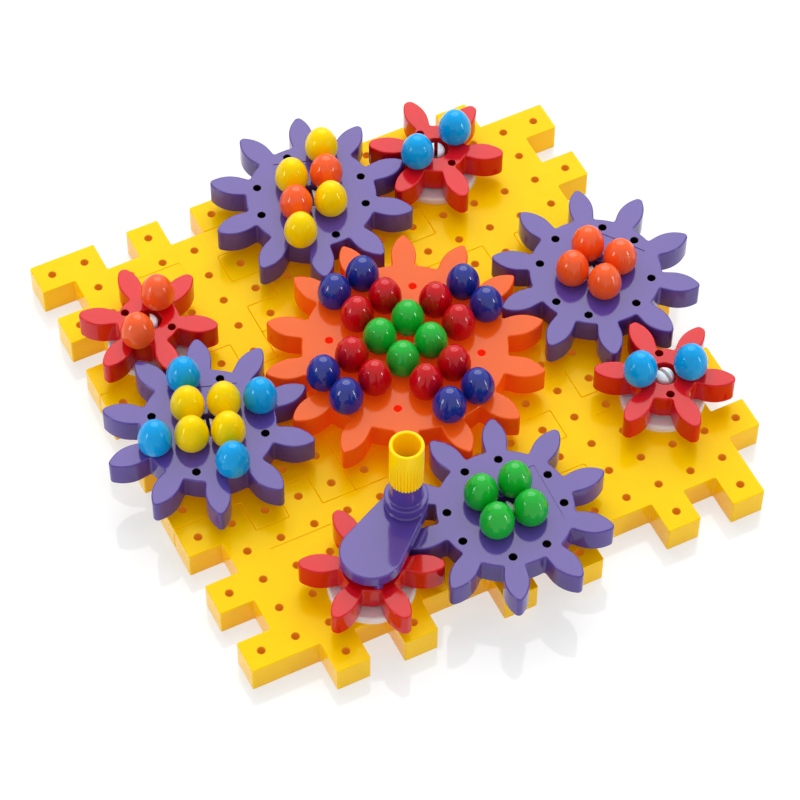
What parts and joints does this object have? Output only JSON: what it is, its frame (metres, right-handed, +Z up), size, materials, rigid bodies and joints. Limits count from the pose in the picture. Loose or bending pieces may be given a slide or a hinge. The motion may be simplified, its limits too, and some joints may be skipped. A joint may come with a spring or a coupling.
{
  "type": "crank gear toy",
  "caption": "Plug-together toy board of interlocking plates with meshed flower-shaped gears, a hand crank that turns them all, and egg-headed pegs.",
  "frame": {"origin": "under the middle gear's axis, on the surface that the plates stand on", "axes": "+Z up along every gear's axis, +X along the plates' front edge to the right, +Y away from the crank's side towards the back"},
  "size_m": [0.2864, 0.2825, 0.0848],
  "materials": {
    "plate_yellow": "moulded, glossy, slightly translucent",
    "gear_red": "moulded, glossy",
    "gear_purple": "moulded, satin gloss",
    "gear_orange": "moulded, glossy, slightly translucent",
    "carrier_white": "moulded, glossy, translucent white",
    "grip_yellow": "moulded, glossy",
    "peg_yellow": "moulded, high gloss",
    "peg_orange": "moulded, high gloss",
    "peg_light_blue": "moulded, high gloss",
    "peg_dark_blue": "moulded, high gloss",
    "peg_green": "moulded, high gloss",
    "peg_red": "moulded, high gloss"
  },
  "bodies": {
    "base": {"plate_front_left": "plate_yellow", "plate_front_centre": "plate_yellow", "plate_front_right": "plate_yellow", "plate_middle_left": "plate_yellow", "plate_middle_centre": "plate_yellow", "plate_middle_right": "plate_yellow", "plate_back_left": "plate_yellow", "plate_back_centre": "plate_yellow", "plate_back_right": "plate_yellow", "centre_gear_carrier": "carrier_white", "front_gear_carrier": "carrier_white", "right_gear_carrier": "carrier_white", "back_gear_carrier": "carrier_white", "left_gear_carrier": "carrier_white", "drive_gear_carrier": "carrier_white", "right_pinion_carrier": "carrier_white", "back_left_pinion_carrier": "carrier_white", "back_right_pinion_carrier": "carrier_white"},
    "centre_gear": {"centre_gear": "gear_orange", "centre_gear_green_pegs": "peg_green", "centre_gear_red_pegs": "peg_red", "centre_gear_dark_blue_pegs": "peg_dark_blue"},
    "front_gear": {"front_gear": "gear_purple", "front_gear_green_pegs": "peg_green"},
    "right_gear": {"right_gear": "gear_purple", "right_gear_orange_pegs": "peg_orange"},
    "back_gear": {"back_gear": "gear_purple", "back_gear_yellow_pegs": "peg_yellow", "back_gear_orange_pegs": "peg_orange"},
    "left_gear": {"left_gear": "gear_purple", "left_gear_yellow_pegs": "peg_yellow", "left_gear_light_blue_pegs": "peg_light_blue"},
    "drive_gear": {"drive_gear": "gear_red", "crank_arm": "gear_purple"},
    "right_pinion": {"right_pinion": "gear_red", "right_pinion_light_blue_pegs": "peg_light_blue"},
    "back_left_pinion": {"back_left_pinion": "gear_red", "back_left_pinion_orange_pegs": "peg_orange"},
    "back_right_pinion": {"back_right_pinion": "gear_red", "back_right_pinion_light_blue_pegs": "peg_light_blue"},
    "grip": {"crank_grip": "grip_yellow"}
  },
  "joints": [
    {"name": "crank_turn", "type": "hinge", "parent": "base", "child": "drive_gear", "pos_m": [-0.064, -0.096, 0.0203], "axis": [0, 0, 1], "continuous": true},
    {"name": "centre_gear_turn", "type": "hinge", "parent": "base", "child": "centre_gear", "pos_m": [0, 0, 0.0203], "axis": [0, 0, 1], "continuous": true},
    {"name": "front_gear_turn", "type": "hinge", "parent": "base", "child": "front_gear", "pos_m": [0, -0.096, 0.0203], "axis": [0, 0, 1], "continuous": true},
    {"name": "right_gear_turn", "type": "hinge", "parent": "base", "child": "right_gear", "pos_m": [0.096, 0, 0.0203], "axis": [0, 0, 1], "continuous": true},
    {"name": "back_gear_turn", "type": "hinge", "parent": "base", "child": "back_gear", "pos_m": [0, 0.096, 0.0203], "axis": [0, 0, 1], "continuous": true},
    {"name": "left_gear_turn", "type": "hinge", "parent": "base", "child": "left_gear", "pos_m": [-0.096, 0, 0.0203], "axis": [0, 0, 1], "continuous": true},
    {"name": "right_pinion_turn", "type": "hinge", "parent": "base", "child": "right_pinion", "pos_m": [0.096, -0.064, 0.0203], "axis": [0, 0, 1], "continuous": true},
    {"name": "back_left_pinion_turn", "type": "hinge", "parent": "base", "child": "back_left_pinion", "pos_m": [-0.096, 0.064, 0.0203], "axis": [0, 0, 1], "continuous": true},
    {"name": "back_right_pinion_turn", "type": "hinge", "parent": "base", "child": "back_right_pinion", "pos_m": [0.064, 0.096, 0.0203], "axis": [0, 0, 1], "continuous": true},
    {"name": "grip_spin", "type": "hinge", "parent": "drive_gear", "child": "grip", "pos_m": [-0.03993, -0.08019, 0.0593], "axis": [0, 0, 1], "continuous": true}
  ],
  "couplings": [
    {"joint": "centre_gear_turn", "follows": "crank_turn", "ratio": 0.42857},
    {"joint": "front_gear_turn", "follows": "crank_turn", "ratio": -0.6},
    {"joint": "right_gear_turn", "follows": "crank_turn", "ratio": -0.6},
    {"joint": "back_gear_turn", "follows": "crank_turn", "ratio": -0.6},
    {"joint": "left_gear_turn", "follows": "crank_turn", "ratio": -0.6},
    {"joint": "right_pinion_turn", "follows": "crank_turn", "ratio": 1},
    {"joint": "back_left_pinion_turn", "follows": "crank_turn", "ratio": 1},
    {"joint": "back_right_pinion_turn", "follows": "crank_turn", "ratio": 1}
  ]
}
